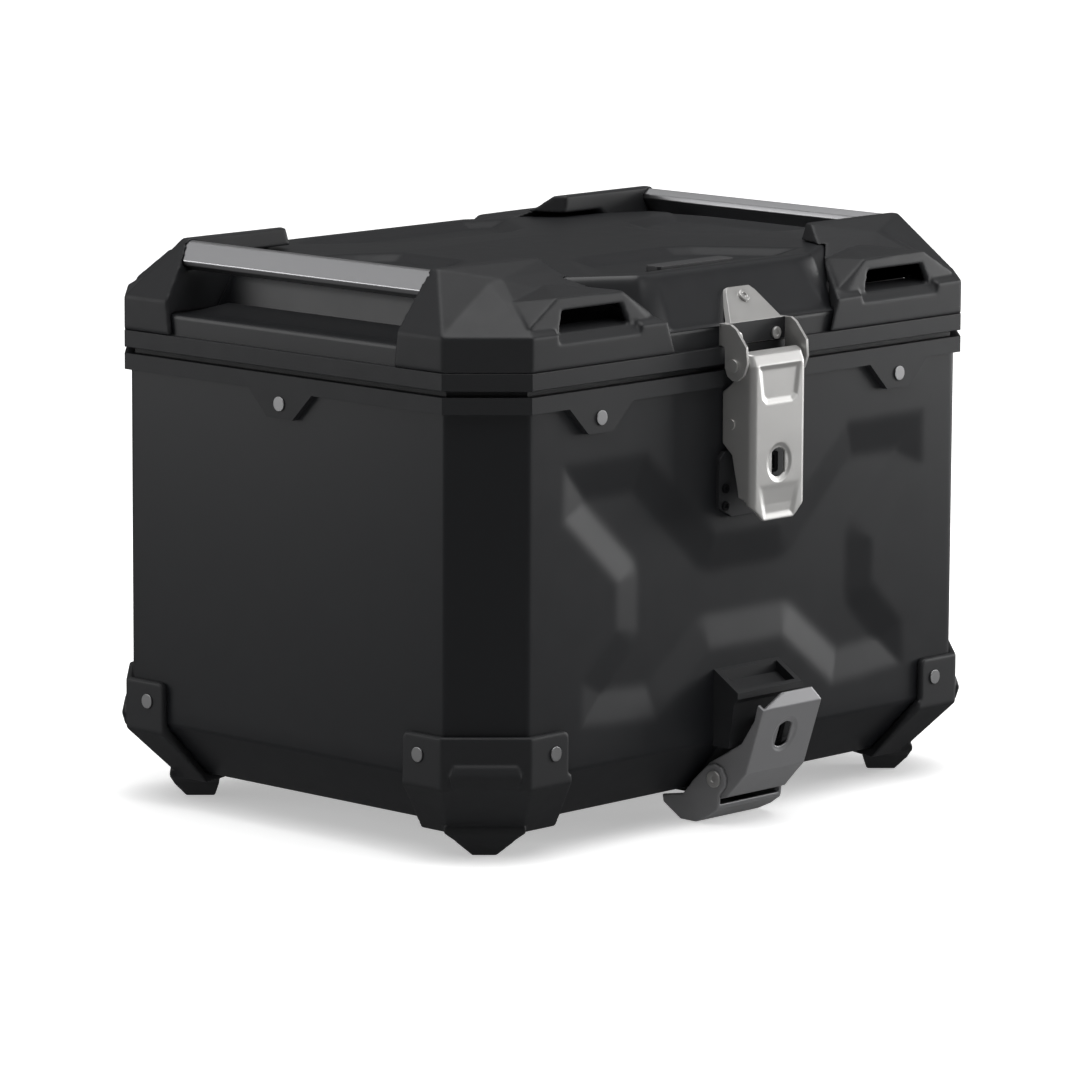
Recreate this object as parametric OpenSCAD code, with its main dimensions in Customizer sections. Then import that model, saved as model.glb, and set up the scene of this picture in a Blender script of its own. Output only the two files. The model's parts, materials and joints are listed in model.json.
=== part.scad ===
// Motorcycle top case: pressed aluminium box with a hinged lid, plastic corners, carrying rails,
// one over-centre latch for the lid and one quick-release latch for the luggage carrier.
// +X runs along the latch side, -Y is the latch side, +Z is up. The origin lies on the plane that
// the four feet stand on, under the centre of the rim.

/* [Case] */
// Overall length of the rim, along X
rim_l = 410; // [380:1:440]
// Overall depth of the rim, along Y
rim_d = 306.6; // [290:0.2:330]
// Leg of the 45 degree corner chamfer of the rim
rim_chamfer = 33; // [28:0.5:38]
// Height of the parting gap between the body and the lid
parting_z = 248; // [240:1:256]
// Sheet thickness of the body and the lid
sheet = 2; // [1.5:0.1:3]
// Height where the body walls fold inward to the floor
fold_z = 46.3; // [40:0.1:54]
// Height of the underside of the floor
floor_z = 17; // [15:0.5:20]

/* [Lid] */
// Highest point of the case, the ridge of the lid corners
top_z = 311; // [306:0.5:314]
// Height of the lid panel
panel_z = 301; // [299:0.5:302]

/* [Latches] */
// Width of the lid latch lever
lever_w = 43; // [40:0.5:46]
// Width of the carrier latch
mount_w = 52; // [48:1:56]

/* [Hidden] */
$fn = 48;

hx = rim_l / 2;
hy = rim_d / 2;
collar_t = 3.7;
wall_x = hx - collar_t;
wall_y = hy - collar_t;
// An octagon's chamfer leg shrinks by this much for each millimetre of inset
leg_rate = 2 - sqrt(2);
floor_inset = 23.5;
gap = 3.3;
collar_h = 8.8;
rim_z = parting_z + gap;
rim_h = 9.4;
skirt_z = rim_z + rim_h;
black = [0.07, 0.07, 0.075];
plastic = [0.13, 0.13, 0.135];
steel = [0.72, 0.72, 0.70];
dark_steel = [0.42, 0.42, 0.42];
alu = [0.62, 0.62, 0.63];
rubber = [0.03, 0.03, 0.03];

// ---------- shared outlines ----------
function oct(a, b, c) = [[a, b - c], [a - c, b], [c - a, b], [-a, b - c],
                         [-a, c - b], [c - a, -b], [a - c, -b], [a, c - b]];
function rim_oct(i) = oct(hx - i, hy - i, rim_chamfer - i * leg_rate);
function mirrored(p) = concat(p, [for (i = [len(p) - 1:-1:0]) [-p[i][0], p[i][1]]]);

module slab(points, z0, z1) {
  translate([0, 0, z0]) linear_extrude(z1 - z0) polygon(points);
}
module band(i0, i1, z0, z1) {
  difference() {
    slab(rim_oct(i0), z0, z1);
    slab(rim_oct(i1), z0 - 1, z1 + 1);
  }
}
// Hull of a list of points
module solid_of(points) {
  hull() for (p = points) translate(p) cube(0.01, center = true);
}
// Profile drawn in the Y-Z plane and extruded along X between x0 and x1
module along_x(points, x0, x1) {
  translate([x0, 0, 0]) rotate([90, 0, 90]) linear_extrude(x1 - x0) polygon(points);
}
// Profile drawn in the X-Z plane and extruded along Y between y0 and y1
module along_y(points, y0, y1) {
  translate([0, y1, 0]) rotate([90, 0, 0]) linear_extrude(y1 - y0) polygon(points);
}
module rod_x(y, z, r, x0, x1) {
  translate([x0, y, z]) rotate([0, 90, 0]) cylinder(r = r, h = x1 - x0);
}
module rod_y(x, z, r, y0, y1) {
  translate([x, y1, z]) rotate([90, 0, 0]) cylinder(r = r, h = y1 - y0);
}
// Copies of the children in the four corners of the case
module corner(sx, sy) {
  mirror([sx < 0 ? 1 : 0, 0, 0]) mirror([0, sy < 0 ? 1 : 0, 0]) children();
}

// ---------- body ----------
relief_depth = 2.6;
relief_half = [[25.5, 159], [81, 208.5], [144, 208.5], [144.5, 179.5], [103, 142],
               [103, 117], [129, 92], [129.5, 68.5], [71, 64.5], [29, 97]];
wall_top = parting_z - 4;

module body_solid(i) {
  slab(rim_oct(collar_t + i), fold_z, wall_top);
  hull() {
    slab(rim_oct(collar_t + i), fold_z, fold_z + 0.01);
    slab(rim_oct(collar_t + floor_inset + i), floor_z + i, floor_z + i + 0.01);
  }
}
module relief_slab(y0, y1) {
  along_y(mirrored(relief_half), y0, y1);
}
module body_shell() {
  color(black) difference() {
    union() {
      difference() {
        body_solid(0);
        body_solid(sheet);
        slab(rim_oct(collar_t + sheet), wall_top - 1, wall_top + 1);
      }
      relief_slab(-wall_y + 0.5, -wall_y + sheet + relief_depth);
    }
    relief_slab(-wall_y - 1, -wall_y + relief_depth);
  }
}

// ---------- collar round the top edge of the body ----------
tab_x = 119.6;
tab_z = 224.5;
tab_rivet_z = 232.5;
latch_notch = lever_w / 2 + 2.6;
module collar_tab() {
  collar_bottom = parting_z - collar_h;
  along_y([[-24, collar_bottom + 1], [24, collar_bottom + 1], [24, collar_bottom], [9.5, tab_z],
           [-9.5, tab_z], [-24, collar_bottom]], -hy, -wall_y);
}
module collar_rim() {
  color(plastic) difference() {
    union() {
      band(0, collar_t, parting_z - collar_h, parting_z);
      band(collar_t, collar_t + sheet, wall_top, parting_z);
      band(collar_t + sheet, collar_t + 2 * sheet, wall_top - 8, parting_z + 5.4);
      for (x = [-tab_x, tab_x]) translate([x, 0, 0]) {
        collar_tab();
        mirror([0, 1, 0]) collar_tab();
      }
      for (s = [-1, 1]) rotate([0, 0, s * 90]) translate([0, hy - hx, 0]) collar_tab();
    }
    translate([-latch_notch, -hy - 1, parting_z - collar_h - 1])
      cube([2 * latch_notch, collar_t + 0.9, collar_h + 2]);
  }
}
module flat_rivet(r, head, shank) {
  cylinder(r = r, h = head);
  translate([0, 0, -shank]) cylinder(r = 2, h = shank + 0.1);
}
module collar_rivets() {
  color(alu) {
    for (x = [-tab_x, tab_x], s = [-1, 1])
      translate([x, s * hy, tab_rivet_z]) rotate([-90 * s, 0, 0]) flat_rivet(4, 0.8, 6.5);
    for (s = [-1, 1]) translate([s * hx, 0, tab_rivet_z]) rotate([0, 90 * s, 0]) flat_rivet(4, 0.8, 6.5);
  }
}

// ---------- corner protectors and feet ----------
protector_t = 3.9;
protector_top = 69.5;
side_tab_y = 91.5;
front_tab_x = 142.5;
tab_r = 4.5;
foot_x = 162.5;
foot_y = 110.8;
// Distance from the foot to the chamfer wall
diag_0 = 33.1;
// A point on the diagonal slope of the protector: d out from the chamfer, w across it
function on_diag(d, w, z) = [foot_x + (d + diag_0 + w) / sqrt(2), foot_y + (d + diag_0 - w) / sqrt(2), z];
module protector() {
  ox = wall_x + protector_t;
  oy = wall_y + protector_t;
  oc = rim_chamfer - (collar_t - protector_t) * leg_rate;
  difference() {
    union() {
      slab([[ox, side_tab_y], [ox, oy - oc], [ox - oc, oy], [front_tab_x, oy],
            [front_tab_x, wall_y - 3], [ox - oc, wall_y - 3], [wall_x - 3, oy - oc],
            [wall_x - 3, side_tab_y]],
           fold_z - 3, protector_top);
      // ridge across the chamfer
      hull() {
        translate(on_diag(2.5, 0, 54)) rotate([0, 0, 45]) cube([5, 34, 0.1], center = true);
        translate(on_diag(4.1, 0, 49)) rotate([0, 0, 45]) cube([5, 38, 0.1], center = true);
        translate(on_diag(2.3, 0, 42)) rotate([0, 0, 45]) cube([5, 34, 0.1], center = true);
      }
      // wedge under the sloping fold
      solid_of([[ox, side_tab_y, fold_z], [ox, oy - oc, fold_z], [ox - oc, oy, fold_z],
                [front_tab_x - 2, oy, fold_z],
                [ox, side_tab_y, fold_z - 5], [ox, oy - oc, fold_z - 5], [ox - oc, oy, fold_z - 5],
                [front_tab_x - 2, oy, fold_z - 5], [181, 82, 12.5], [181, 102, 12.5], [153, 130, 12.5],
                [128, 130, 12.5], [138, 92, 12.5]]);
      // foot that narrows downward in two steps
      hull() {
        translate(on_diag(-33, 0, 15)) rotate([0, 0, 45]) cube([27, 43, 3], center = true);
        translate(on_diag(-34, 0, 9.2)) rotate([0, 0, 45]) cube([25, 31, 0.4], center = true);
      }
      hull() {
        translate(on_diag(-34, 0, 9.2)) rotate([0, 0, 45]) cube([25, 31, 1], center = true);
        translate(on_diag(-36, 0, 0.5)) rotate([0, 0, 45]) cube([16, 13, 1], center = true);
      }
    }
    body_solid(0);
    // rounded upper corners of the two tabs
    difference() {
      translate([wall_x - 4, side_tab_y - 1, protector_top - tab_r]) cube([12, tab_r + 1, tab_r + 1]);
      rod_x(side_tab_y + tab_r, protector_top - tab_r, tab_r, wall_x - 5, wall_x + 9);
    }
    difference() {
      translate([front_tab_x - 1, wall_y - 4, protector_top - tab_r]) cube([tab_r + 1, 12, tab_r + 1]);
      rod_y(front_tab_x + tab_r, protector_top - tab_r, tab_r, wall_y - 5, wall_y + 9);
    }
  }
}
module corner_protector_fl() { color(plastic) corner(-1, -1) protector(); }
module corner_protector_fr() { color(plastic) corner(1, -1) protector(); }
module corner_protector_bl() { color(plastic) corner(-1, 1) protector(); }
module corner_protector_br() { color(plastic) corner(1, 1) protector(); }
module protector_rivets() {
  rivet_z = 58.3;
  color(alu) for (sx = [-1, 1], sy = [-1, 1]) corner(sx, sy) {
    translate([wall_x + protector_t, 103.4, rivet_z]) rotate([0, 90, 0]) flat_rivet(4, 0.8, 6.5);
    translate([153.4, wall_y + protector_t, rivet_z]) rotate([-90, 0, 0]) flat_rivet(4, 0.8, 6.5);
  }
}

// ---------- lid latch, body side ----------
base_t = 3;
base_z0 = 168;
base_z1 = 204;
base_w = 26;
core_z = 198;
keeper_z = 211;
module latch_base() {
  front = -wall_y - base_t;
  color(plastic) difference() {
    union() {
      along_y([[-base_w, base_z0 + 6], [-base_w + 10, base_z0], [base_w - 10, base_z0],
               [base_w, base_z0 + 6],
               [base_w, base_z1 - 4], [base_w - 4, base_z1], [-base_w + 4, base_z1],
               [-base_w, base_z1 - 4]],
              front, -wall_y);
      translate([-13, front, base_z1 - 1]) cube([26, base_t, keeper_z - base_z1 + 5]);
      // keeper that the hook closes under
      along_x([[front + 0.5, keeper_z], [front - 4.4, keeper_z], [front - 4.4, keeper_z + 3.4],
               [front + 0.5, keeper_z + 5]], -12, 12);
      // boss for the lock core
      rod_y(0, core_z, 7.5, front - 3, front + 0.5);
    }
    rod_y(0, core_z, 6.05, front - 20, -wall_y - 0.8);
  }
}
module latch_base_screws() {
  color(steel) for (x = [-21.5, 21.5], z = [174.5, 184])
    translate([x, -wall_y - base_t, z]) rotate([90, 0, 0]) {
      difference() {
        cylinder(r = 2.6, h = 1.2);
        translate([0, 0, 0.5]) cylinder(r = 1.4, h = 1, $fn = 6);
      }
      translate([0, 0, -base_t - 3]) cylinder(r = 1.5, h = base_t + 3.1);
    }
}
// A lock core: round barrel with a double-D head and a key slot, pointing along +Z of its own frame
module lock_core(len) {
  difference() {
    union() {
      cylinder(r = 6, h = len - 3);
      translate([0, 0, len - 3.1]) intersection() {
        cylinder(r = 6, h = 3.1);
        translate([-3.6, -8, 0]) cube([7.2, 16, 4]);
      }
    }
    translate([-0.6, -3.6, len - 3]) cube([1.2, 7.2, 4]);
  }
}
module upper_lock_core() {
  color(rubber) translate([0, -wall_y - 1, core_z]) rotate([90, 0, 0]) lock_core(17.4);
}

// ---------- carrier latch ----------
pivot_y = -151;
pivot_z = 26;
mw = mount_w / 2;
plate_tilt = 18.2;
// Foot of the lower lock core, in the front of the housing
lower_core_y = -159.4;
lower_core_z = 56.5;
key_y = -176.8;
key_z = 50.8;
module mount_housing() {
  color(plastic) difference() {
    union() {
      // upper box with the sloping cap
      along_x([[-wall_y, 86], [-wall_y - 17.5, 75], [-wall_y - 17.5, 71.5], [-wall_y - 15, 69],
               [-wall_y - 11, 44],
               [-wall_y, 44]], -mw, mw);
      // lower part that holds the pivot between the lever flanges
      along_x([[-wall_y, 47.5], [-wall_y - 12, 47.5], [pivot_y - 5.5, pivot_z + 4],
               [pivot_y - 5.5, pivot_z - 2],
                 [pivot_y - 2, pivot_z - 5.5], [pivot_y + 4, pivot_z - 5], [pivot_y + 12, pivot_z - 3.5],
                 [pivot_y + 16, pivot_z - 4.5], [pivot_y + 23, floor_z - 3], [-112, floor_z - 3],
                 [-112, floor_z], [-wall_y + floor_inset, floor_z], [-wall_y, fold_z]], -18, 18);
    }
    body_solid(0);
    // pocket in the cap
    along_x([[-wall_y - 2, 90], [-wall_y - 2, 78.6], [-wall_y - 15.4, 71], [-wall_y - 15.4, 90]],
             -22.5, 22.5);
    rod_x(pivot_y, pivot_z, 3.06, -19, 19);
    translate([0, lower_core_y + 0.3, lower_core_z + 0.1]) rotate([90 + plate_tilt, 0,
        0]) cylinder(r = 6.05, h = 20);
  }
}
module mount_housing_screws() {
  color(steel) for (x = [-20, 20]) {
    translate([x, -wall_y + sheet, 60]) rotate([-90, 0, 0]) cylinder(r = 4.5, h = 2);
    rod_y(x, 60, 2, -wall_y - 8, -wall_y + sheet + 0.1);
  }
}
module mount_pivot_pin() {
  color(steel) {
    rod_x(pivot_y, pivot_z, 3, -mw - 0.2, mw + 0.2);
    for (s = [0, 1]) mirror([s, 0, 0]) difference() {
      rod_x(pivot_y, pivot_z, 4.6, mw + 0.2, mw + 1.6);
      translate([mw + 0.9, pivot_y, pivot_z]) rotate([0, 90, 0]) cylinder(r = 1.8, h = 2, $fn = 6);
    }
  }
}
// Flange and plate profiles of the carrier lever, in Y-Z
lever_back = [[-179.2, 70], [-176.8, 61], [-167.8, 47.2], [-144.5, 33.5]];
module mount_lever() {
  flange_t = 2;
  flange_out = mw - 2.4;
  tip = [-183.4, 67.4];
  color(dark_steel) difference() {
    union() {
      for (s = [0, 1]) mirror([s, 0, 0]) {
        along_x(concat(lever_back, [[-142, 29], [-141.6, 24], [-146, 17], [-152, 14.6], [-158, 16.5],
                [-163.5, 22.6], [-171.4, 31], tip]), flange_out - flange_t, flange_out);
      }
      along_x([tip, [-171.4, 31], [-163.5, 22.6], [-158, 16.5], [-152, 14.6], [-152, 17], [-157, 18.8],
               [-162, 24.4], [-169.4, 32], [-181.4, 67.9]], -flange_out, flange_out);
      // head of the plate above the flanges
      intersection() {
        along_x([tip, [-181.4, 67.9], [-179.6, 74.4], [-181.4, 75]], -flange_out, flange_out);
        along_y([[-flange_out, 67], [-4, 75.4], [17.6, 75.4], [flange_out, 68], [flange_out, 60],
                 [-flange_out, 60]],
                -190, -170);
      }
    }
    rod_x(pivot_y, pivot_z, 3.06, -40, 40);
    // double-D key opening
    translate([0, key_y, key_z]) rotate([90 + plate_tilt, 0, 0]) intersection() {
      cylinder(r = 7.6, h = 30, center = true);
      cube([10.4, 20, 40], center = true);
    }
  }
}
module mount_jaw() {
  jaw = [[-112.5, 12.2], [-113.5, 8], [-126, 0.4], [-137, 0.3], [-146, 4.5], [-152.8, 9.2], [-153.4, 12]];
  color(dark_steel) difference() {
    union() {
      for (s = [0, 1]) mirror([s, 0, 0]) {
        along_x(concat(jaw, [[-154, 17.5], [-158, 22.5], [-158.6, 27], [-155.5, 32.4], [-150, 34],
                             [-145, 32.4], [-136, 24.5], [-128, 15]]), mw - 2.1, mw - 0.1);
      }
      difference() {
        along_x(concat(jaw, [[-151.2, 12], [-144, 10], [-113, 12.2]]), -mw + 0.1, mw - 0.1);
        along_x([[-100, 20], [-112.5, 10], [-125.5, 2.6], [-136.4, 2.5], [-144.8, 6.4], [-150.9, 10.6],
                 [-151.1, 20]], -mw + 2.1, mw - 2.1);
      }
    }
    rod_x(pivot_y, pivot_z, 3.06, -40, 40);
  }
}
module lower_lock_core() {
  color(rubber) translate([0, lower_core_y, lower_core_z]) rotate([90 + plate_tilt, 0,
      0]) lock_core(15.4);
}

// ---------- underside of the floor ----------
plate_t = 2.5;
module mount_plate() {
  color(black) difference() {
    slab(oct(78, 96, 14), floor_z - plate_t, floor_z);
    for (x = [-45, 45]) slab([for (p = oct(20, 60, 6)) [p[0] + x, p[1]]],
        floor_z - plate_t - 1, floor_z + 1);
  }
}
module mount_plate_rivets() {
  color(alu) for (x = [-71, 71], y = [-75, 75]) translate([x, y, floor_z - plate_t]) rotate([180, 0, 0])
    flat_rivet(4, 1, 6);
}
module carrier_hooks() {
  color(dark_steel) for (x = [-45, 45])
    along_x([[76, floor_z - plate_t], [76, 4], [104, 4], [104, 7.5], [80, 7.5],
             [80, floor_z - plate_t - 3],
             [92, floor_z - plate_t - 3], [92, floor_z - plate_t]], x - 14, x + 14);
}

// ---------- rear hinges ----------
hinge_x = 36;
hinge_y = hy + 4.2;
hinge_z = parting_z + gap / 2;
knuckle_r = 3;
hinge_half = 22;
module knuckles(edges, z_edge) {
  for (e = edges) difference() {
    union() {
      rod_x(hinge_y, hinge_z, knuckle_r, e[0], e[1]);
      along_x([[hy, z_edge], [hy, hinge_z + (z_edge - hinge_z) * 0.62], [hinge_y - 1.5, hinge_z],
               [hinge_y + 1.6, hinge_z + (z_edge - hinge_z) * 0.65], [hy + 1.6, z_edge]], e[0], e[1]);
    }
    rod_x(hinge_y, hinge_z, 1.55, e[0] - 1, e[1] + 1);
  }
}
module hinge_leaf_body() {
  top = hinge_z - 3.4;
  translate([-hinge_half, wall_y, 214]) cube([2 * hinge_half, collar_t - 0.1,
      parting_z - collar_h - 214]);
  translate([-hinge_half, hy, 214]) cube([2 * hinge_half, 1.6, top - 214]);
  knuckles([[-hinge_half, -8.2], [8.2, hinge_half]], top);
}
module hinge_leaves_body() {
  color(black) for (x = [-hinge_x, hinge_x]) translate([x, 0, 0]) hinge_leaf_body();
}
module hinge_rivets_body() {
  color(alu) for (x = [-hinge_x, hinge_x], dx = [-13, 13]) translate([x + dx, hy + 1.6, 225])
    rotate([-90, 0, 0]) flat_rivet(3.5, 0.8, 8.5);
}
module hinge_pins() {
  color(steel) for (x = [-hinge_x, hinge_x]) rod_x(hinge_y, hinge_z, 1.5, x - hinge_half - 0.8,
      x + hinge_half + 0.8);
}

// ---------- lid ----------
lid_inset = 3;
shelf_z = 272;
tub_low = [[63, 150.3], [172, 84]];
tub_high = [[70, 132], [165, 74]];
pocket_depth = 4;
front_pocket = [[58, 124], [84, 112], [44, 66], [30, 60]];
side_pocket = [[158, 52], [110, 40], [92, 22]];
function around(p, i) = [[p[0][0] - i * 0.4, p[0][1] - i], [p[1][0] - i, p[1][1] - i * 0.6],
                         [p[1][0] - i, -p[1][1] + i * 0.6], [p[0][0] - i * 0.4, -p[0][1] + i],
                         [-p[0][0] + i * 0.4, -p[0][1] + i], [-p[1][0] + i, -p[1][1] + i * 0.6],
                         [-p[1][0] + i, p[1][1] - i * 0.6], [-p[0][0] + i * 0.4, p[0][1] - i]];
module tub(i) {
  hull() {
    slab(around(tub_low, i), shelf_z - 3, shelf_z + 0.01);
    slab(around(tub_high, i), panel_z - i - 0.01, panel_z - i);
  }
}
// Outline points moved away from a centre by i, in both directions
function spread(p, c, i) = [for (q = p) [q[0] + i * sign(q[0] - c[0]), q[1] + i * sign(q[1] - c[1])]];
function both_sides(p) = concat(p, [for (i = [len(p) - 1:-1:0]) [p[i][0], -p[i][1]]]);
// Sunken fields of the panel, widened by i
module lid_pockets(z0, i) {
  for (s = [0, 1]) {
    mirror([0, s, 0]) slab(mirrored(spread(front_pocket, [0, 95], i)), z0, panel_z + 1);
    mirror([s, 0, 0]) slab(both_sides(spread(side_pocket, [130, 0], i)), z0, panel_z + 1);
  }
}
// Vertical band of the lid with the shelf that carries the corners
module lid_skirt() {
  color(black) difference() {
    slab(rim_oct(lid_inset), skirt_z, shelf_z);
    slab(rim_oct(lid_inset + sheet), skirt_z - 1, shelf_z - sheet);
    slab(around(tub_low, sheet), shelf_z - sheet - 1, shelf_z + 1);
  }
}
tray_z = panel_z - pocket_depth - sheet;
module lid_walls() {
  color(black) difference() {
    intersection() {
      tub(0);
      slab(rim_oct(0), shelf_z, tray_z);
    }
    tub(sheet);
  }
}
module lid_panel() {
  color(black) difference() {
    intersection() {
      tub(0);
      slab(rim_oct(0), tray_z, panel_z);
    }
    difference() {
      tub(sheet);
      lid_pockets(tray_z - 1, sheet);
    }
    lid_pockets(panel_z - pocket_depth, 0);
  }
}
module lid_rim() {
  color(plastic) {
    band(0, 3.6, rim_z, skirt_z);
    band(3.6, 13, skirt_z - 2.6, skirt_z);
  }
}
module lid_seal() {
  color(rubber) band(4.4, 9.4, parting_z + 5.7, skirt_z - 2.6);
}

// ---------- plastic lid corners ----------
// Crease between the upper and the lower roof of a corner
crease_z = 304.2;
eave_z = 279.4;
end_v0 = 84.7;
end_v1 = 90.9;
// Solid of a lid corner in the +X +Y quadrant, inset by i from its outer faces
module corner_solid(i) {
  b = skirt_z + 0.01;
  c = rim_chamfer - i * leg_rate;
  ax = hx - i;
  ay = hy - i;
  top = top_z - i;
  mid = crease_z - i;
  low = eave_z - i;
  // upper roof from the ridge down to the outer slope, with the leaning ends
  solid_of([[184 - i, end_v1 + i, top], [184 - i, 96.5, top], [112 + i, end_v1 + i, top],
            [108 + i, 98.3, top - 0.5],
            [103 + i, 106 - i / 2, mid], [150 - i, 110.5 - i / 2, mid], [158 - i, 106.5, mid],
            [ax, ay - c, low], [ax, 87 + i, low], [ax, ay - c, b], [ax, end_v0 + i, b], [150, 110.5, b],
            [103 + i, 106, b], [99 + i, end_v0 + i, b]]);
  // lower roof with the facet over the chamfer
  solid_of([[103 + i, 106 - i / 2, mid], [150 - i, 110.5 - i / 2, mid], [158 - i, 106.5, mid],
            [ax, ay - c, low], [ax - c, ay, low], [68 + i, ay, low - 1.4],
            [62 + i, ay, b], [ax - c, ay, b], [ax, ay - c, b], [96 + i, 92, b], [190, 92, b]]);
  // hood over the lashing slot
  solid_of([[116, 120, 299.2 - i], [127, 119, 299.4 - i], [97 + i, 147 - i, 296.8 - i],
            [147 - i, 146.7 - i, 297.2 - i],
            [92 + i, 124, 295.6 - i], [160 - i, 128, 294.6 - i], [75 + i, 147.5 - i, 283 - i],
            [170 - i, 149 - i, 283.6 - i], [78 + i, 150 - i, low - 1], [169 - i, 150 - i, low - 1],
            [104, 110, low - 1], [150, 110, low - 1]]);
}
rail_u = 183.4;
rail_z = 302.2;
// Angle between the broad face of the rail and the vertical
rail_angle = 31.3;
// Rail section with bevelled edges, outer face parallel to the slope of the lid corners
module rail_section(g) {
  a = 7.6 + g;
  b = 4.6 + g;
  translate([rail_u, rail_z]) rotate(rail_angle + 90)
    polygon([[-a, 2 - b], [2 - a, -b], [a - 2, -b], [a, 2 - b], [a, b - 2], [a - 2, b], [2 - a, b],
             [-a, b - 2]]);
}
module rail(g, half) {
  translate([0, half, 0]) rotate([90, 0, 0]) linear_extrude(2 * half) rail_section(g);
}
sill_z = 279;
module lid_corner() {
  difference() {
    corner_solid(0);
    corner_solid(3);
    tub(-0.3);
    // room for the flange of the rim and for the shelf
    slab(rim_oct(-5), skirt_z - 1, skirt_z + 0.02);
    slab([[66, 88], [200, 88], [200, 117], [170, 149], [66, 150]], skirt_z, skirt_z + 4);
    slab(rim_oct(lid_inset - 0.3), skirt_z - 1, shelf_z + 0.2);
    rail(0.1, 93);
    // lashing slot with its sloping sill
    along_y([[94.5, sill_z], [148, sill_z], [144, sill_z + 11.5], [99, sill_z + 11.5]], 142, 160);
    along_x([[149.4, sill_z], [149.4, sill_z + 9], [156, sill_z + 9], [156, sill_z - 9]], 89, 151.5);
    // open end of the strap channel
    translate([50, 108, shelf_z + 2]) cube([50, 29, 10]);
  }
  // floor of the lashing slot
  along_x([[150.2, sill_z - 3.4], [150.2, sill_z - 0.6], [149.4, sill_z], [138, sill_z + 3],
           [138, sill_z + 0.4]],
          92, 150.5);
}
module lid_corner_fl() { color(plastic) corner(-1, -1) lid_corner(); }
module lid_corner_fr() { color(plastic) corner(1, -1) lid_corner(); }
module lid_corner_bl() { color(plastic) corner(-1, 1) lid_corner(); }
module lid_corner_br() { color(plastic) corner(1, 1) lid_corner(); }
module lid_corner_screws() {
  color(steel) for (sx = [-1, 1], sy = [-1, 1], p = [[190, 100], [100, 141]])
    corner(sx, sy) translate([p[0], p[1], shelf_z - sheet - 2]) {
      cylinder(r = 4, h = 2);
      cylinder(r = 1.8, h = 8);
    }
}
module rail_left() { color(alu) mirror([1, 0, 0]) rail(0, 92); }
module rail_right() { color(alu) rail(0, 92); }
plate_v = 106;
module name_plate() {
  color(plastic) slab([for (p = oct(30, 5.5, 1.5)) [p[0], p[1] - plate_v]], panel_z - pocket_depth,
                               panel_z - pocket_depth + 3.4);
}
module hinge_leaf_lid() {
  bottom = hinge_z + 3.4;
  translate([-hinge_half, hy, bottom]) cube([2 * hinge_half, 1.6, skirt_z + 10 - bottom]);
  translate([-hinge_half, hy - lid_inset, skirt_z]) cube([2 * hinge_half, lid_inset + 0.1, 10]);
  knuckles([[-8, 8]], bottom);
}
module hinge_leaves_lid() {
  color(black) for (x = [-hinge_x, hinge_x]) translate([x, 0, 0]) hinge_leaf_lid();
}
module hinge_rivets_lid() {
  color(alu) for (x = [-hinge_x, hinge_x], dx = [-14, 14]) translate([x + dx, hy + 1.6, 265.6])
    rotate([-90, 0, 0]) flat_rivet(3.2, 0.8, 7);
}

// ---------- lid latch, lid side ----------
lever_pivot_y = -161;
lever_pivot_z = 251.2;
ear_x = 25;
ear_t = 1.8;
plate_y = -150.3 - 2.4;
tab_top = [-141, 290];
module latch_bracket() {
  ear = [[plate_y, 273], [-158.5, 273], [-162, 271], [-169.6, 261.8], [-170.4, 253], [-168, 246.4],
         [-164, 243.4],
         [-160, 243], [-156.5, 245.2], [-154.6, 249.5], [-154.6, skirt_z - 0.2],
         [plate_y, skirt_z + 0.2]];
  color(steel) difference() {
    union() {
      for (s = [0, 1]) mirror([s, 0, 0]) {
        along_x(ear, ear_x - ear_t, ear_x);
      }
      // tab up the slope of the lid
      intersection() {
        along_x([[plate_y - 1.8, 261.2], [plate_y - 1.8, 273], tab_top, tab_top + [2.2, -1.6],
                 [-150.3, 273.6],
                 [-150.3, 261.2]], -22, 22);
        along_y([[-21, 260], [21, 260], [20.5, 273], [11.5, 287.5], [8, 290.5], [-8, 290.5],
                 [-11.5, 287.5], [-20.5, 273]],
                -160, -130);
      }
      along_x([[plate_y - 1.8, 261.2], [plate_y - 1.8, 273], [-150.3, 273], [-150.3, 261.2]],
               -ear_x, ear_x);
    }
    tub(0);
    rod_x(lever_pivot_y, lever_pivot_z, 2.56, -40, 40);
  }
}
// Screw with a round head and a hexagon socket, pointing along +Z of its own frame
module socket_screw(shank) {
  difference() {
    cylinder(r = 3.4, h = 1.4);
    translate([0, 0, 0.5]) cylinder(r = 1.7, h = 2, $fn = 6);
  }
  translate([0, 0, -shank]) cylinder(r = 1.8, h = shank + 0.1);
}
plate_screw_x = 15.5;
plate_screw_z = 264.8;
module bracket_screws() {
  color(steel) {
    for (x = [-plate_screw_x, plate_screw_x]) translate([x, plate_y - 1.8, plate_screw_z]) rotate([90,
        0, 0])
      socket_screw(6.5);
    translate([0, -145, 285]) rotate([51.5, 0, 0]) socket_screw(7);
  }
}
module lever_pin() {
  color(steel) {
    rod_x(lever_pivot_y, lever_pivot_z, 2.5, -ear_x - 0.6, ear_x + 0.6);
    for (s = [0, 1]) mirror([s, 0, 0]) rod_x(lever_pivot_y, lever_pivot_z, 3.6, ear_x, ear_x + 1.3);
  }
}
hook_pivot_y = -156.5;
hook_pivot_z = 219;
lever_face = -172;
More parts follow.
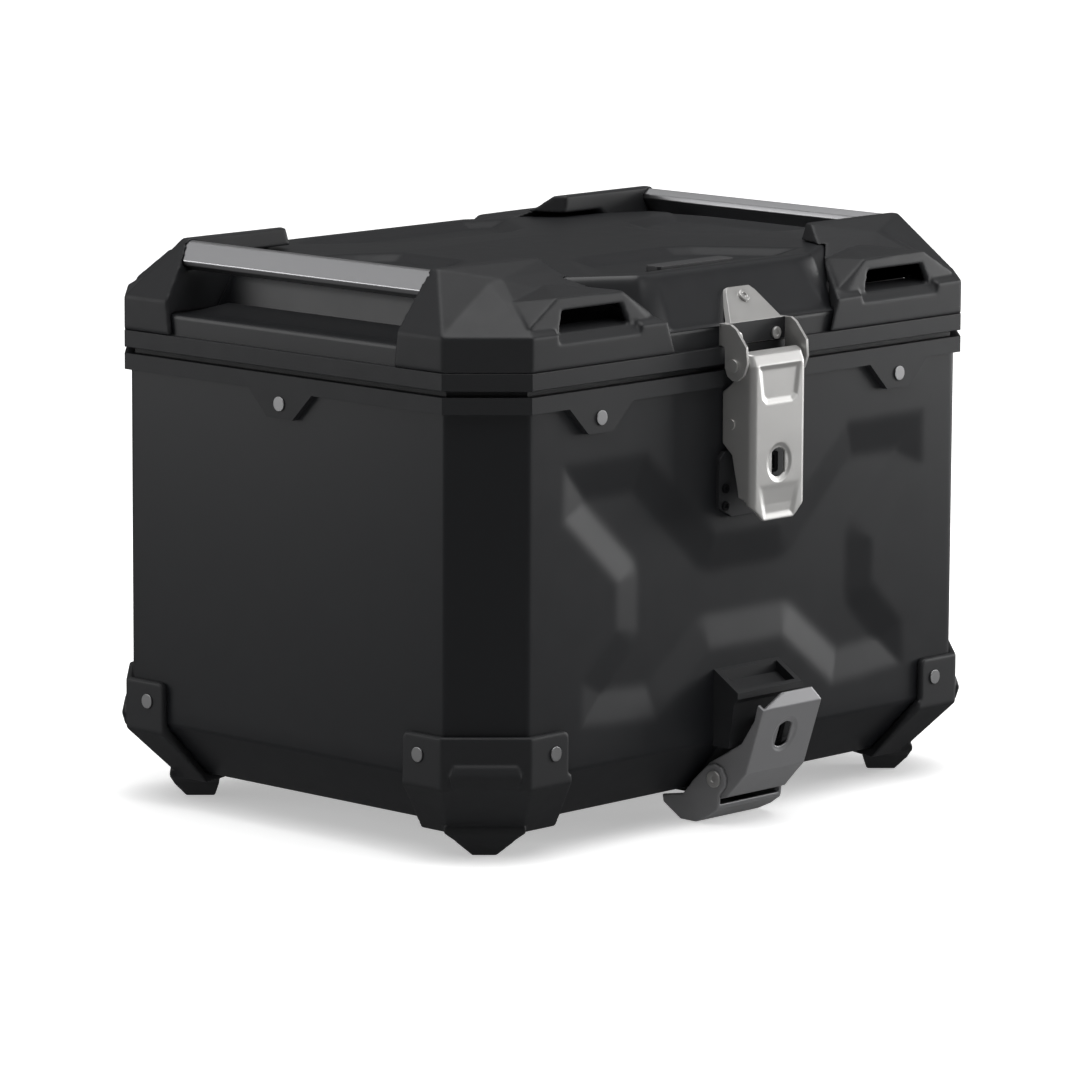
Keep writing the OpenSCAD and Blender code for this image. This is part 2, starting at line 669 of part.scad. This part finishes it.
module latch_lever() {
  hw = lever_w / 2;
  flange = [[-160, 257], [-156.8, 253.5], [-156.8, 248.2], [-160, 244], [-150, 236], [-150, 208.5],
            [-157, 202.5],
            [-162, 180], [-170.5, 177.5], [-170.5, 250], [-168.4, 256]];
  color(steel) difference() {
    union() {
      for (s = [0, 1]) mirror([s, 0, 0]) along_x(flange, hw - 2, hw);
      intersection() {
        along_x([[lever_face, 160], [lever_face, 251], [-169.4, 257], [-164, 258.6], [-163, 256.8],
                 [-168.2, 255],
                 [-170, 250], [-170, 160]], -hw, hw);
        along_y([[-hw, 176], [-12, 167.4], [12, 167.4], [hw, 176], [hw, 262], [-hw, 262]], -180, -150);
      }
    }
    rod_x(lever_pivot_y, lever_pivot_z, 2.56, -40, 40);
    rod_x(hook_pivot_y, hook_pivot_z, 2.05, -40, 40);
    translate([0, -171, core_z]) rotate([90, 0, 0]) intersection() {
      cylinder(r = 7.7, h = 10, center = true);
      cube([10.6, 20, 12], center = true);
    }
  }
}
module hook_pin() {
  color(steel) {
    rod_x(hook_pivot_y, hook_pivot_z, 2, -lever_w / 2 - 0.4, lever_w / 2 + 0.4);
    for (s = [0, 1]) mirror([s, 0, 0]) rod_x(hook_pivot_y, hook_pivot_z, 3, lever_w / 2,
        lever_w / 2 + 0.9);
  }
}
module hook_link() {
  color(steel) difference() {
    union() {
      rod_x(hook_pivot_y, hook_pivot_z, 4, -11, 11);
      along_x([[-160.2, 219], [-163, 213], [-163, 206.6], [-157.9, 206.6], [-157.9, 209.6],
               [-160.6, 210.6],
               [-158.6, 216.6]], -11, 11);
    }
    rod_x(hook_pivot_y, hook_pivot_z, 2.06, -40, 40);
  }
}

body_shell();
collar_rim();
collar_rivets();
corner_protector_fl();
corner_protector_fr();
corner_protector_bl();
corner_protector_br();
protector_rivets();
latch_base();
latch_base_screws();
upper_lock_core();
mount_housing();
mount_housing_screws();
mount_pivot_pin();
mount_lever();
mount_jaw();
lower_lock_core();
mount_plate();
mount_plate_rivets();
carrier_hooks();
hinge_leaves_body();
hinge_rivets_body();
hinge_pins();
lid_skirt();
lid_walls();
lid_panel();
lid_rim();
lid_seal();
lid_corner_fl();
lid_corner_fr();
lid_corner_bl();
lid_corner_br();
lid_corner_screws();
rail_left();
rail_right();
name_plate();
hinge_leaves_lid();
hinge_rivets_lid();
latch_bracket();
bracket_screws();
lever_pin();
latch_lever();
hook_pin();
hook_link();
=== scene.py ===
import json
import math

import bmesh
import bpy
import numpy as np
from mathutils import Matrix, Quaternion, Vector

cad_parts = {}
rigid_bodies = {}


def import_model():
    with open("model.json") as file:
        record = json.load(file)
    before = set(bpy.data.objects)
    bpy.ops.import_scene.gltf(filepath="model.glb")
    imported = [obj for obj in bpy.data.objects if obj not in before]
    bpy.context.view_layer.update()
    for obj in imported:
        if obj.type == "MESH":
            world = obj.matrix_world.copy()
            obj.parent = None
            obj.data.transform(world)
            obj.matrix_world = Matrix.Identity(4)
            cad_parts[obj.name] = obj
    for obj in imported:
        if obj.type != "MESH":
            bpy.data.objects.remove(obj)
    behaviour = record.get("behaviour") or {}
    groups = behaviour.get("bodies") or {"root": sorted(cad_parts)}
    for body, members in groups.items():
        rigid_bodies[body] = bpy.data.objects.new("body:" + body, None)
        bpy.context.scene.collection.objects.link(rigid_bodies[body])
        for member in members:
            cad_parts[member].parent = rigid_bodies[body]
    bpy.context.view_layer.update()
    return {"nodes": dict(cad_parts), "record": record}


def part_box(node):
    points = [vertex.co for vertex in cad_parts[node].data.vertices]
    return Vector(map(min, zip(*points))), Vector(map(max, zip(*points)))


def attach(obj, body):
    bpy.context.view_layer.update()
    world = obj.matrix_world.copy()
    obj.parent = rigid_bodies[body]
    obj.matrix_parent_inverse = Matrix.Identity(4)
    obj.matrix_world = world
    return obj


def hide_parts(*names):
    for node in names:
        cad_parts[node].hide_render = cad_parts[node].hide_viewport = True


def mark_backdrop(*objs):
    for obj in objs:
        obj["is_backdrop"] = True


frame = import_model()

MM = 0.001
WELD = 0.002
FLAT = math.radians(0.6)
SHARP = math.radians(28)
CREASE = math.radians(34)
record = frame["record"]
BODY_OF = {n: b for b, ns in record["behaviour"]["bodies"].items() for n in ns}
SLOT_OF = {s["node"]: s["material_slot"] for s in record["subparts"]}


# ---------- materials ----------
def material(name, colour, rough, metal=0.0, tint=0.12, mottle=14, rough_var=0.06, grain=900, bump=0.15,
             depth=0.05, stretch=(1, 1, 1), spec=0.5):
    """Procedural material: mottled colour, varied roughness and a fine grain as bump, its depth in mm."""
    m = bpy.data.materials.new(name)
    m.use_nodes = True
    nodes, links = m.node_tree.nodes, m.node_tree.links
    nodes.clear()
    out = nodes.new("ShaderNodeOutputMaterial")
    bsdf = nodes.new("ShaderNodeBsdfPrincipled")
    links.new(bsdf.outputs["BSDF"], out.inputs["Surface"])
    bsdf.inputs["Metallic"].default_value = metal
    bsdf.inputs["Specular IOR Level"].default_value = spec
    coord = nodes.new("ShaderNodeTexCoord")

    def noise(scale, detail, along):
        mapping = nodes.new("ShaderNodeMapping")
        mapping.inputs["Scale"].default_value = along
        links.new(coord.outputs["Object"], mapping.inputs["Vector"])
        tex = nodes.new("ShaderNodeTexNoise")
        tex.inputs["Scale"].default_value = scale
        tex.inputs["Detail"].default_value = detail
        links.new(mapping.outputs["Vector"], tex.inputs["Vector"])
        return tex.outputs["Fac"]

    patches = noise(mottle, 4, (1, 1, 1))
    mix = nodes.new("ShaderNodeMix")
    mix.data_type = "RGBA"
    links.new(patches, mix.inputs["Factor"])
    mix.inputs["A"].default_value = [c * (1 - tint) for c in colour] + [1]
    mix.inputs["B"].default_value = [c * (1 + tint) for c in colour] + [1]
    links.new(mix.outputs["Result"], bsdf.inputs["Base Color"])
    fine = noise(grain, 2, stretch)
    spread = nodes.new("ShaderNodeMapRange")
    links.new(noise(mottle * 6, 5, stretch), spread.inputs["Value"])
    spread.inputs["To Min"].default_value = rough - rough_var
    spread.inputs["To Max"].default_value = rough + rough_var
    links.new(spread.outputs["Result"], bsdf.inputs["Roughness"])
    bumps = nodes.new("ShaderNodeBump")
    bumps.inputs["Strength"].default_value = bump
    bumps.inputs["Distance"].default_value = depth * MM
    links.new(fine, bumps.inputs["Height"])
    links.new(bumps.outputs["Normal"], bsdf.inputs["Normal"])
    return m


PAINT = material("powder_coat", (0.0082, 0.0087, 0.0101), 0.37, grain=1100, bump=0.22, tint=0.06,
                 rough_var=0.03, spec=0.40)
# the dark plastic look also serves as painted shade on the steel plate of the latch bracket
PLASTIC_AND_SHADE = material("moulded_plastic", (0.0125, 0.0129, 0.0142), 0.50, grain=1500, bump=0.5, depth=0.06,
                   tint=0.08, spec=0.30)
STEEL = material("blasted_stainless", (0.50, 0.495, 0.485), 0.40, metal=0.8, tint=0.04, grain=1800,
                 bump=0.3, depth=0.03)
DARK_STEEL = material("dark_steel", (0.20, 0.20, 0.205), 0.40, metal=0.5, tint=0.05, grain=1600,
                      bump=0.3, depth=0.03)
ALU = material("anodised_rail", (0.40, 0.40, 0.41), 0.34, metal=1, tint=0.03, grain=2500, bump=0.25,
               depth=0.02, stretch=(1, 0.02, 1))
RIVET = material("rivet_aluminium", (0.34, 0.34, 0.345), 0.42, metal=1, tint=0.04, grain=1500, bump=0.2)
RUBBER = material("seal_rubber", (0.012, 0.012, 0.012), 0.75, grain=1200, bump=0.3)
LOCK = material("lock_black", (0.004, 0.004, 0.0045), 0.5, grain=1500, bump=0.15, spec=0.08)
PLATE = material("plate_plastic", (0.038, 0.038, 0.040), 0.36, grain=1500, bump=0.3, depth=0.03, tint=0.06)
LOOKS = {"case_paint": PAINT, "trim_plastic": PLASTIC_AND_SHADE, "stainless": STEEL, "dark_steel": DARK_STEEL,
         "satin_aluminium": ALU, "rivet_aluminium": RIVET, "seal_rubber": RUBBER, "lock_black": LOCK}


# ---------- mesh helpers ----------
def new_object(name, mesh):
    obj = bpy.data.objects.new(name, mesh)
    bpy.context.scene.collection.objects.link(obj)
    return obj


def settle(obj, node):
    """obj becomes the visible piece for a CAD node: same body, same slot, that slot's material."""
    obj.data.materials.clear()
    obj.data.materials.append(LOOKS[SLOT_OF[node]])
    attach(obj, BODY_OF[node])
    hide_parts(node)
    return obj


def welded(node):
    """bmesh copy of a CAD node with shared corners merged and flat areas turned into few convex faces."""
    bm = bmesh.new()
    bm.from_mesh(frame["nodes"][node].data)
    bmesh.ops.remove_doubles(bm, verts=bm.verts, dist=WELD * MM)
    bmesh.ops.dissolve_limit(bm, angle_limit=FLAT, verts=bm.verts, edges=bm.edges)
    bmesh.ops.connect_verts_concave(bm, faces=bm.faces)
    return bm


def mesh_from(bm, name):
    mesh = bpy.data.meshes.new(name)
    bm.to_mesh(mesh)
    bm.free()
    mesh.shade_smooth()
    return mesh


def baked(obj):
    """Applies every modifier of obj."""
    graph = bpy.context.evaluated_depsgraph_get()
    mesh = bpy.data.meshes.new_from_object(obj.evaluated_get(graph))
    old = obj.data
    obj.modifiers.clear()
    obj.data = mesh
    bpy.data.meshes.remove(old)
    return obj


def bevelled(node, width=0.3, segments=2):
    """CAD node with its sharp edges rounded by width, in mm."""
    obj = new_object(node + "_look", mesh_from(welded(node), node + "_look"))
    mod = obj.modifiers.new("edges", "BEVEL")
    mod.width = width * MM
    mod.segments = segments
    mod.limit_method = "ANGLE"
    mod.angle_limit = SHARP
    mod.use_clamp_overlap = True
    flat = obj.modifiers.new("flat", "WEIGHTED_NORMAL")
    flat.keep_sharp = True
    return settle(baked(obj), node)


def moulded(node, voxel, rounds, sculpt=None):
    """CAD node remade as an even skin of voxel mm cells, its edges rounded as moulded or pressed parts have
    them; sculpt moves the points of the skin, in mm."""
    obj = new_object(node + "_look", mesh_from(welded(node), node + "_look"))
    mod = obj.modifiers.new("skin", "REMESH")
    mod.mode = "VOXEL"
    mod.voxel_size = voxel * MM
    soft = obj.modifiers.new("soft", "SMOOTH")
    soft.factor = 0.5
    soft.iterations = rounds
    baked(obj)
    co = np.empty(len(obj.data.vertices) * 3)
    obj.data.vertices.foreach_get("co", co)
    co = co.reshape(-1, 3) / MM
    if sculpt:
        co = sculpt(co)
    lo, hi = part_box(node)
    co = np.clip(co * MM, lo, hi)
    obj.data.vertices.foreach_set("co", co.ravel())
    obj.data.update()
    obj.data.shade_smooth()
    return settle(obj, node)


def ramp(t, e=0.25):
    """0 below 0 and 1 above 1, straight between, with both bends softened over e."""
    def bend(u):
        return np.where(u < -e, 0, np.where(u > e, u, (u + e) ** 2 / (4 * e)))
    return bend(t) - bend(t - 1)


def inside(poly, x, y):
    """Signed distance from the outline of a polygon, positive inside."""
    best = np.full(np.shape(x), 1e9)
    odd = np.zeros(np.shape(x), bool)
    for (ax, ay), (bx, by) in zip(poly, poly[1:] + poly[:1]):
        ex, ey = bx - ax, by - ay
        t = np.clip(((x - ax) * ex + (y - ay) * ey) / (ex * ex + ey * ey), 0, 1)
        best = np.minimum(best, np.hypot(x - ax - t * ex, y - ay - t * ey))
        crosses = (ay > y) != (by > y)
        with np.errstate(divide="ignore", invalid="ignore"):
            at = ax + (y - ay) * ex / (ey if ey else 1e-9)
        odd ^= crosses & (x < at)
    return np.where(odd, best, -best)


def fillet(points, radii, steps=4, closed=True):
    """Polyline with each corner turned into an arc of its own radius."""
    out = []
    n = len(points)
    for k, p in enumerate(points):
        r = radii[k]
        if r <= 0 or (not closed and k in (0, n - 1)):
            out.append(tuple(p))
            continue
        p = np.array(p, float)
        a = np.array(points[k - 1], float) - p
        b = np.array(points[(k + 1) % n], float) - p
        a, b = a / np.linalg.norm(a), b / np.linalg.norm(b)
        half = math.acos(np.clip(a @ b, -1, 1)) / 2
        reach = r / math.tan(half)
        centre = p + (a + b) / np.linalg.norm(a + b) * r / math.sin(half)
        start, end = p + a * reach - centre, p + b * reach - centre
        turn = math.acos(np.clip(start @ end / (r * r), -1, 1))
        for s in range(steps + 1):
            f = s / steps
            q = (start * math.sin((1 - f) * turn) + end * math.sin(f * turn)) / math.sin(turn)
            out.append(tuple(centre + q))
    return out


def loft(name, rings):
    """Closed skin through rings of the same number of points, in mm, with a face over the first and last."""
    rings = [np.asarray(r, float) for r in rings]
    n = len(rings[0])
    bm = bmesh.new()
    rows = [[bm.verts.new(p * MM) for p in r] for r in rings]
    for low, high in zip(rows, rows[1:]):
        for k in range(n):
            bm.faces.new((low[k], low[(k + 1) % n], high[(k + 1) % n], high[k]))
    bm.faces.new(rows[0][::-1])
    bm.faces.new(rows[-1])
    bmesh.ops.recalc_face_normals(bm, faces=bm.faces)
    obj = new_object(name, mesh_from(bm, name))
    obj.data.set_sharp_from_angle(angle=CREASE)
    return obj


# ---------- body shell: one folded box with the pressed relief in its front ----------
shell_lo, shell_hi = (np.array(v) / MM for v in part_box("body_shell"))
WALL_X, WALL_Y = shell_hi[0], shell_hi[1]
FLOOR_Z, WALL_TOP = shell_lo[2], shell_hi[2]
SHEET = 2.0
FOLD_Z = 46.3
FLOOR_INSET = 23.5
FLOOR_RUN = 6
BEND_OUT, BEND_IN = 4.5, 2.5
RELIEF_ROWS_Z, ROW_STEP = 56, 2.0
LEG_RATE = 2 - math.sqrt(2)
CORNER_LEG = 33
CHAMFER = CORNER_LEG - 3.7 * LEG_RATE
# right half of the pressed X, as x and z
RELIEF = [(25.5, 159), (81, 208.5), (144, 208.5), (144.5, 179.5), (103, 142), (103, 117), (129, 92),
          (129.5, 68.5), (71, 64.5), (29, 97)]
RELIEF = RELIEF + [(-x, z) for x, z in reversed(RELIEF)]
RELIEF_DEPTH = 2.6
RELIEF_SLOPE = 19
RELIEF_SOFT = 0.16


def octagon(i, radius, front=200):
    """Outline of the case at inset i from its outer wall, bends rounded, with many points along the front."""
    a, b, c = WALL_X - i, WALL_Y - i, CHAMFER - i * LEG_RATE
    corners = [(-a + c, -b), (a - c, -b), (a, -b + c), (a, b - c),
               (a - c, b), (-a + c, b), (-a, b - c), (-a, -b + c)]
    pts = fillet(corners, [max(radius, 0.3)] * 8)
    steps = len(pts) // 8
    out = []
    for k, p in enumerate(pts):
        out.append(p)
        if k == steps - 1:
            q = pts[k + 1]
            out += [(p[0] + (q[0] - p[0]) * s / front, p[1]) for s in range(1, front)]
    return np.array(out)


def relief(x, z):
    """Depth of the pressed X at a place on the front wall."""
    return RELIEF_DEPTH * ramp(inside(RELIEF, x, z) / RELIEF_SLOPE, RELIEF_SOFT)


def body_rings():
    """Rings up the outside and down the inside of the sheet, the front ones pushed in by the relief."""
    slope = [(FLOOR_INSET, FLOOR_Z), (0.0, FOLD_Z), (0.0, WALL_TOP)]
    rows = [z for z in np.arange(RELIEF_ROWS_Z, WALL_TOP - 1, ROW_STEP)] + [WALL_TOP - 0.4]
    outer = fillet([(FLOOR_INSET + FLOOR_RUN, FLOOR_Z)] + slope, [0, 2.5, 5, 0], closed=False)
    outer = outer[:-1] + [(0.0, z) for z in rows] + [(0.0, WALL_TOP)]
    inner = fillet([(FLOOR_INSET + FLOOR_RUN, FLOOR_Z + SHEET), (FLOOR_INSET + 1.1, FLOOR_Z + SHEET),
                    (SHEET, FOLD_Z + 0.9), (SHEET, WALL_TOP)], [0, 1.5, 3, 0], closed=False)
    inner = inner[:-1] + [(SHEET, z) for z in rows] + [(SHEET, WALL_TOP)]
    rings = []
    for radius, profile in ((BEND_OUT, outer), (BEND_IN, inner[::-1])):
        for i, z in profile:
            ring = octagon(i, radius)
            y = ring[:, 1].copy()
            front = y < -WALL_Y + SHEET + 1
            y[front] += relief(ring[front, 0], np.full(front.sum(), z))
            rings.append(np.column_stack([ring[:, 0], y, np.full(len(ring), z)]))
    return rings


settle(loft("body_shell_look", body_rings()), "body_shell")

# ---------- lid shell: skirt, shelf and the raised panel with its cross ----------
lid_lo, lid_hi = (np.array(v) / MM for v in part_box("lid_skirt"))
LID_X, LID_Y, SKIRT_Z, SHELF_Z = lid_hi[0], lid_hi[1], lid_lo[2], lid_hi[2]
PANEL_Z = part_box("lid_panel")[1][2] / MM
PANEL_FALL, FALL_FROM, FALL_OVER = 3.5, 30, 100
LID_CHAMFER = CORNER_LEG - 3 * LEG_RATE
TUB_LOW = [(63, 150.3), (172, 84)]
TUB_HIGH = [(70, 132), (165, 74)]
FRONT_POCKET = [(58, 121), (80, 110), (46, 66), (32, 60)]
SIDE_POCKET = [(164, 56), (110, 40), (92, 22)]
POCKET_DEPTH, POCKET_SLOPE, POCKET_MARGIN = 4, 12, 3
ANGLES = np.radians(np.arange(0, 360, 0.4))
WALL_STEPS = [-0.1, 0, 0.05, 0.1, 0.2, 0.35, 0.5, 0.65, 0.78, 0.86, 0.92, 0.96, 1.0, 1.05, 1.1, 1.16, 1.22]
PANEL_RINGS = 70
LID_REACH = 150
TOP_BLEND, FOOT_BLEND = 4, 2


def four_way(points):
    """Outline through the given corners of one quadrant, mirrored into the others."""
    q = list(points)
    right = q + [(x, -y) for x, y in reversed(q)]
    return right + [(-x, -y) for x, y in q] + [(-x, y) for x, y in reversed(q)]


def polar(poly, softness=0):
    """Distance from the centre to the outline along each of ANGLES, corners softened over some steps."""
    dx, dy = np.cos(ANGLES), np.sin(ANGLES)
    reach = np.full(len(ANGLES), 1e9)
    for (ax, ay), (bx, by) in zip(poly, poly[1:] + poly[:1]):
        ex, ey = bx - ax, by - ay
        det = dx * ey - dy * ex
        with np.errstate(divide="ignore", invalid="ignore"):
            t = (ax * ey - ay * ex) / det
            u = (ax * dy - ay * dx) / det
        hit = (t > 0) & (u >= -1e-9) & (u <= 1 + 1e-9)
        reach = np.where(hit & (t < reach), t, reach)
    for _ in range(softness):
        reach = (np.roll(reach, 1) + reach + np.roll(reach, -1)) / 3
    return np.column_stack([dx * reach, dy * reach])


def mirrored(points):
    """Outline through the given points and their mirror images in x."""
    return list(points) + [(-x, y) for x, y in reversed(points)]


POCKETS = [mirrored(FRONT_POCKET), [(x, -y) for x, y in mirrored(FRONT_POCKET)]]
side = list(SIDE_POCKET) + [(x, -y) for x, y in reversed(SIDE_POCKET)]
POCKETS += [side, [(-x, y) for x, y in side]]


def panel_height(x, y):
    """Top of the raised panel: a cross between four sunken fields, falling a little towards the hinges."""
    fall = PANEL_FALL * np.clip((y - FALL_FROM) / FALL_OVER, 0, 1)
    sunk = sum(ramp((inside(p, x, y) + POCKET_MARGIN) / POCKET_SLOPE, 0.2) for p in POCKETS)
    return PANEL_Z - fall - POCKET_DEPTH * np.clip(sunk, 0, 1)


def smooth_min(a, b, k):
    """The lesser of a and b, blended over k where they cross."""
    h = np.clip(0.5 + 0.5 * (b - a) / k, 0, 1)
    return b + (a - b) * h - k * h * (1 - h)


def lid_rings():
    """Rings of the lid sheet: from the middle of its top out to the skirt, then back over its inner side."""
    a, b, c = LID_X, LID_Y, LID_CHAMFER
    low, high = polar(four_way(TUB_LOW), 2), polar(four_way(TUB_HIGH), 2)

    def rim(i):
        """Outline of the skirt at inset i."""
        return polar(four_way([(a - i - c + i * LEG_RATE, b - i), (a - i, b - i - c + i * LEG_RATE)]), 1)

    def skin(drop):
        """Rings from the bottom of the skirt to the middle of the panel, drop mm inside the outer skin."""
        edge = [(0, SKIRT_Z), (0, SHELF_Z - 2.6 - drop), (0, SHELF_Z - 1.4 - drop),
                (0.4, SHELF_Z - 0.4 - drop), (1.4, SHELF_Z - drop), (2.4, SHELF_Z - drop)]
        rings = [(rim(drop + i), np.full(len(ANGLES), z)) for i, z in edge]
        flat = [low + (high - low) * t for t in WALL_STEPS]
        flat += [flat[-1] * s for s in np.linspace(1, 0.02, PANEL_RINGS)[1:]]
        for ring in flat:
            ring = ring * (1 - drop / LID_REACH)
            climb = np.hypot(*low.T) - np.hypot(*ring.T)
            wall = climb / (np.hypot(*low.T) - np.hypot(*high.T))
            top = smooth_min(SHELF_Z + (PANEL_Z - SHELF_Z) * wall, panel_height(*ring.T), TOP_BLEND)
            rings.append((ring, -smooth_min(-top, np.full(len(ANGLES), -SHELF_Z), FOOT_BLEND) - drop))
        return [np.column_stack([r, z]) for r, z in rings]

    return skin(0)[::-1] + skin(SHEET)


lid = settle(loft("lid_look", lid_rings()), "lid_skirt")
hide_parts("lid_skirt", "lid_walls", "lid_panel")

# ---------- the other parts ----------
for c in ("fl", "fr", "bl", "br"):
    moulded("lid_corner_" + c, 0.9, 7)
    moulded("corner_protector_" + c, 0.8, 6)
for node in ("collar_rim", "lid_rim"):
    bevelled(node, 0.5, 3)
for node in ("rail_left", "rail_right"):
    bevelled(node, 0.6, 3)


def falls(distance, over):
    """1 well inside an outline, 0 outside it, turning over a slope of the given width."""
    return ramp((distance + over / 2) / over, 0.3)


LEVER_LO, LEVER_HI = (np.array(v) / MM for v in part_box("latch_lever"))
KEY_Z = 198.0
KEY_RING_R, KEY_RING_EDGE, KEY_RING_DEPTH = 9.8, 1.6, 0.75
DISH_DEPTH, TOE_DEPTH = 0.95, 0.8
TOE_Z, TOE_RUN = 188, 12
EDGE_R = 3.6
DISH = [(-15.5, 250), (15.5, 250), (13, 234), (10, 231.5), (-10, 231.5), (-13, 234)]
TOE = [(-15, 186), (15, 186), (11, 169.5), (-11, 169.5)]


def key_ring(x, up):
    """Depth of the ring pressed round a key opening, a little taller than wide."""
    return KEY_RING_DEPTH * np.clip((KEY_RING_R - np.hypot(x, up * 0.92)) / KEY_RING_EDGE, 0, 1)


def lever_press(co):
    """Pressed details of the lid lever: a sunken field, a ring round the key opening and a folded toe."""
    x, y, z = co.T
    skin = np.clip((LEVER_LO[1] + 1.3 - y) / 0.5, 0, 1)
    sunk = DISH_DEPTH * falls(inside(DISH, x, z), 2.5)
    sunk += key_ring(x, z - KEY_Z)
    sunk += TOE_DEPTH * falls(inside(TOE, x, z), 3.0) * np.clip((TOE_Z - z) / TOE_RUN, 0, 1)
    off = np.clip(np.abs(x) - (LEVER_HI[0] - EDGE_R), 0, EDGE_R)
    front = np.clip((LEVER_LO[1] + 6 - y) / 3, 0, 1)
    co[:, 1] = y + skin * sunk + front * (EDGE_R - np.sqrt(EDGE_R ** 2 - 0.96 * off ** 2))
    return co


MOUNT_KEY = np.array([-176.8, 50.8])
MOUNT_TILT = math.radians(18.2)


def mount_press(co):
    """Pressed ring round the key opening of the tilted carrier lever."""
    x, y, z = co.T
    up = (z - MOUNT_KEY[1]) / math.cos(MOUNT_TILT)
    face = MOUNT_KEY[0] - (z - MOUNT_KEY[1]) * math.tan(MOUNT_TILT)
    skin = np.clip((face + 0.2 - y) / 0.5, 0, 1)
    sunk = key_ring(x, up) * (np.abs(up) < 12)
    co[:, 1] = y + skin * sunk * math.cos(MOUNT_TILT)
    co[:, 2] = z + skin * sunk * math.sin(MOUNT_TILT)
    return co


moulded("latch_lever", 0.45, 3, sculpt=lever_press)
moulded("mount_lever", 0.45, 3, sculpt=mount_press)
moulded("mount_jaw", 0.5, 4)
done = {o.name.removesuffix("_look") for o in bpy.data.objects if o.name.endswith("_look")}
for node in sorted(set(BODY_OF) - done - {"lid_skirt", "lid_walls", "lid_panel"}):
    bevelled(node)
bpy.data.objects["name_plate_look"].data.materials[0] = PLATE

# painted shade: the front of the flat steel plate between the ears of the bracket sits in shade, so it is
# given the dark plastic colour
SHADE_BAND_Z = (261.5, 272.9)
SHADE_BAND_HALF_WIDTH = 23.2
SHADE_BAND_FRONT_Y = -155
bracket = bpy.data.objects["latch_bracket_look"].data
# painted shade: the dark plastic look is added as a second slot for the shaded front faces of the steel plate
bracket.materials.append(PLASTIC_AND_SHADE)
for face in bracket.polygons:
    x, y, z = face.center / MM
    in_painted_shade = SHADE_BAND_Z[0] < z < SHADE_BAND_Z[1] and abs(x) < SHADE_BAND_HALF_WIDTH and y > SHADE_BAND_FRONT_Y
    # front-facing faces of the plate get the painted shade
    if face.normal.y < -0.9 and in_painted_shade:
        face.material_index = 1

# ---------- floor, lights and camera ----------
FLOOR_HALF = 20
FLOOR_GLOW = 0.42
WORLD_LIGHT = 0.10
bm = bmesh.new()
bmesh.ops.create_grid(bm, x_segments=8, y_segments=8, size=FLOOR_HALF)
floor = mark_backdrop(new_object("floor", mesh_from(bm, "floor"))) or bpy.data.objects["floor"]
floor_look = bpy.data.materials.new("pale_floor")
floor_look.use_nodes = True
shader = floor_look.node_tree.nodes["Principled BSDF"]
shader.inputs["Base Color"].default_value = (0.9, 0.9, 0.9, 1)
shader.inputs["Roughness"].default_value = 0.9
shader.inputs["Specular IOR Level"].default_value = 0.1
shader.inputs["Emission Color"].default_value = (1, 1, 1, 1)
shader.inputs["Emission Strength"].default_value = FLOOR_GLOW
floor.data.materials.append(floor_look)
floor.visible_glossy = False

world = bpy.data.worlds.new("studio")
bpy.context.scene.world = world
world.use_nodes = True
back = world.node_tree.nodes["Background"]
back.inputs["Color"].default_value = (1, 1, 1, 1)
back.inputs["Strength"].default_value = WORLD_LIGHT

LIT_CENTRE = Vector((0, 0, 0.16))


def way_to(azimuth, elevation):
    """Unit vector from the case to a place at an azimuth, 0 before the latches, and elevation in degrees."""
    a, e = math.radians(azimuth), math.radians(elevation)
    return Vector((math.sin(a) * math.cos(e), -math.cos(a) * math.cos(e), math.sin(e)))


def softbox(name, azimuth, elevation, distance, width, height, power):
    """Rectangular light aimed at the case; distance and size in metres, power in watts."""
    data = bpy.data.lights.new(name, "AREA")
    data.shape = "RECTANGLE"
    data.size, data.size_y = width, height
    data.energy = power
    obj = bpy.data.objects.new(name, data)
    bpy.context.scene.collection.objects.link(obj)
    way = way_to(azimuth, elevation)
    obj.location = LIT_CENTRE + way * distance
    obj.rotation_euler = (-way).to_track_quat("-Z", "Y").to_euler()
    obj.visible_camera = False


softbox("side_box", -134, 8, 2.6, 1.6, 0.9, 14)
softbox("rail_box", -145, 36, 2.4, 1.2, 0.7, 2)
softbox("front_box", 66, 7, 2.4, 0.8, 0.9, 25)
softbox("front_fill", 38, 16, 2.6, 1.8, 1.2, 9)
softbox("top_box", 20, 78, 2.2, 2.0, 2.0, 18)
sun = bpy.data.lights.new("sky", "SUN")
sun.energy = 2.3
sun.angle = math.radians(80)
sun_obj = bpy.data.objects.new("sky", sun)
bpy.context.scene.collection.objects.link(sun_obj)

bpy.context.scene.view_settings.view_transform = "Standard"
bpy.context.scene.view_settings.look = "None"

AZIMUTH, ELEVATION, ROLL = -46.459, 9.507, 0.276
DISTANCE = 3.5376
AIM = Vector((-0.0044, 0, 0.1359))
LENS, SENSOR = 212.9, 36
cam_data = bpy.data.cameras.new("camera")
cam_data.lens = LENS
cam_data.sensor_width = SENSOR
camera = bpy.data.objects.new("camera", cam_data)
bpy.context.scene.collection.objects.link(camera)
away = way_to(AZIMUTH, ELEVATION)
camera.location = AIM + away * DISTANCE
camera.rotation_mode = "QUATERNION"
camera.rotation_quaternion = (-away).to_track_quat("-Z", "Y") @ Quaternion((0, 0, 1), math.radians(ROLL))
bpy.context.scene.camera = camera
